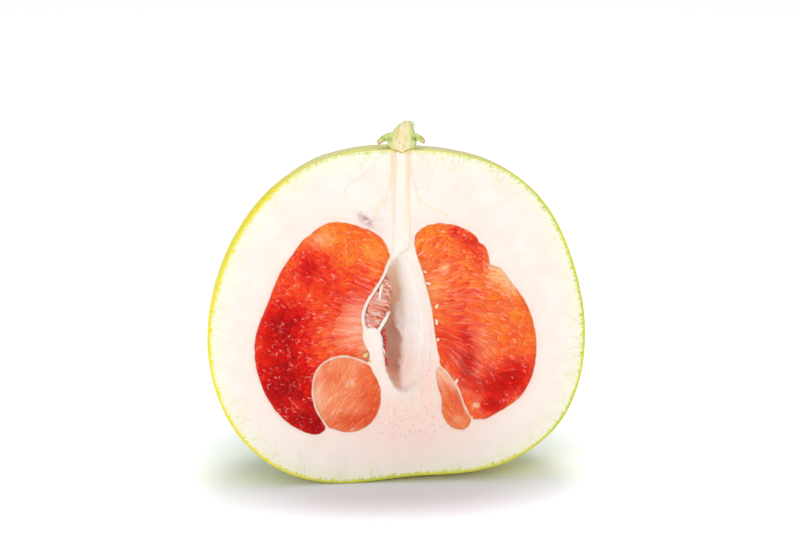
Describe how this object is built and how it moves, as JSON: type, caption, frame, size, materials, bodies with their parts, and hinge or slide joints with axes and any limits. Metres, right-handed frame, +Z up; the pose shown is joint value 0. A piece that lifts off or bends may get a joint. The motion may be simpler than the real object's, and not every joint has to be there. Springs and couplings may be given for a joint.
{
  "type": "pomelo",
  "caption": "Half pomelo cut lengthways through the stem: green-yellow skin, thick pale pith, red pulp segments round a hollow core, and a stem button with sepals.",
  "frame": {"origin": "centre of the bounding box's underside, on the surface that the half fruit stands on", "axes": "+X across the cut face to the right, +Y from the cut face into the fruit, +Z up from the blossom end to the stem"},
  "size_m": [0.1542, 0.0764, 0.1485],
  "materials": {
    "skin": "waxy yellow-green rind skin with small oil glands, soft gloss",
    "pith": "matt, spongy pinkish-white pith",
    "pulp_red": "wet, translucent red juice sacs",
    "pulp_orange": "wet, translucent orange juice sacs",
    "pulp_pink": "moist pink juice sacs",
    "stem": "dry, sage-green sepals and cream cut wood",
    "seed": "dry tan seed coat"
  },
  "bodies": {
    "root": {"skin": "skin", "pith": "pith", "pulp_left": "pulp_red", "pulp_right": "pulp_red", "pulp_lower_left": "pulp_orange", "pulp_lower_right": "pulp_orange", "pulp_core": "pulp_pink", "stem": "stem", "seed_upper": "seed", "seed_lower": "seed"}
  },
  "joints": []
}
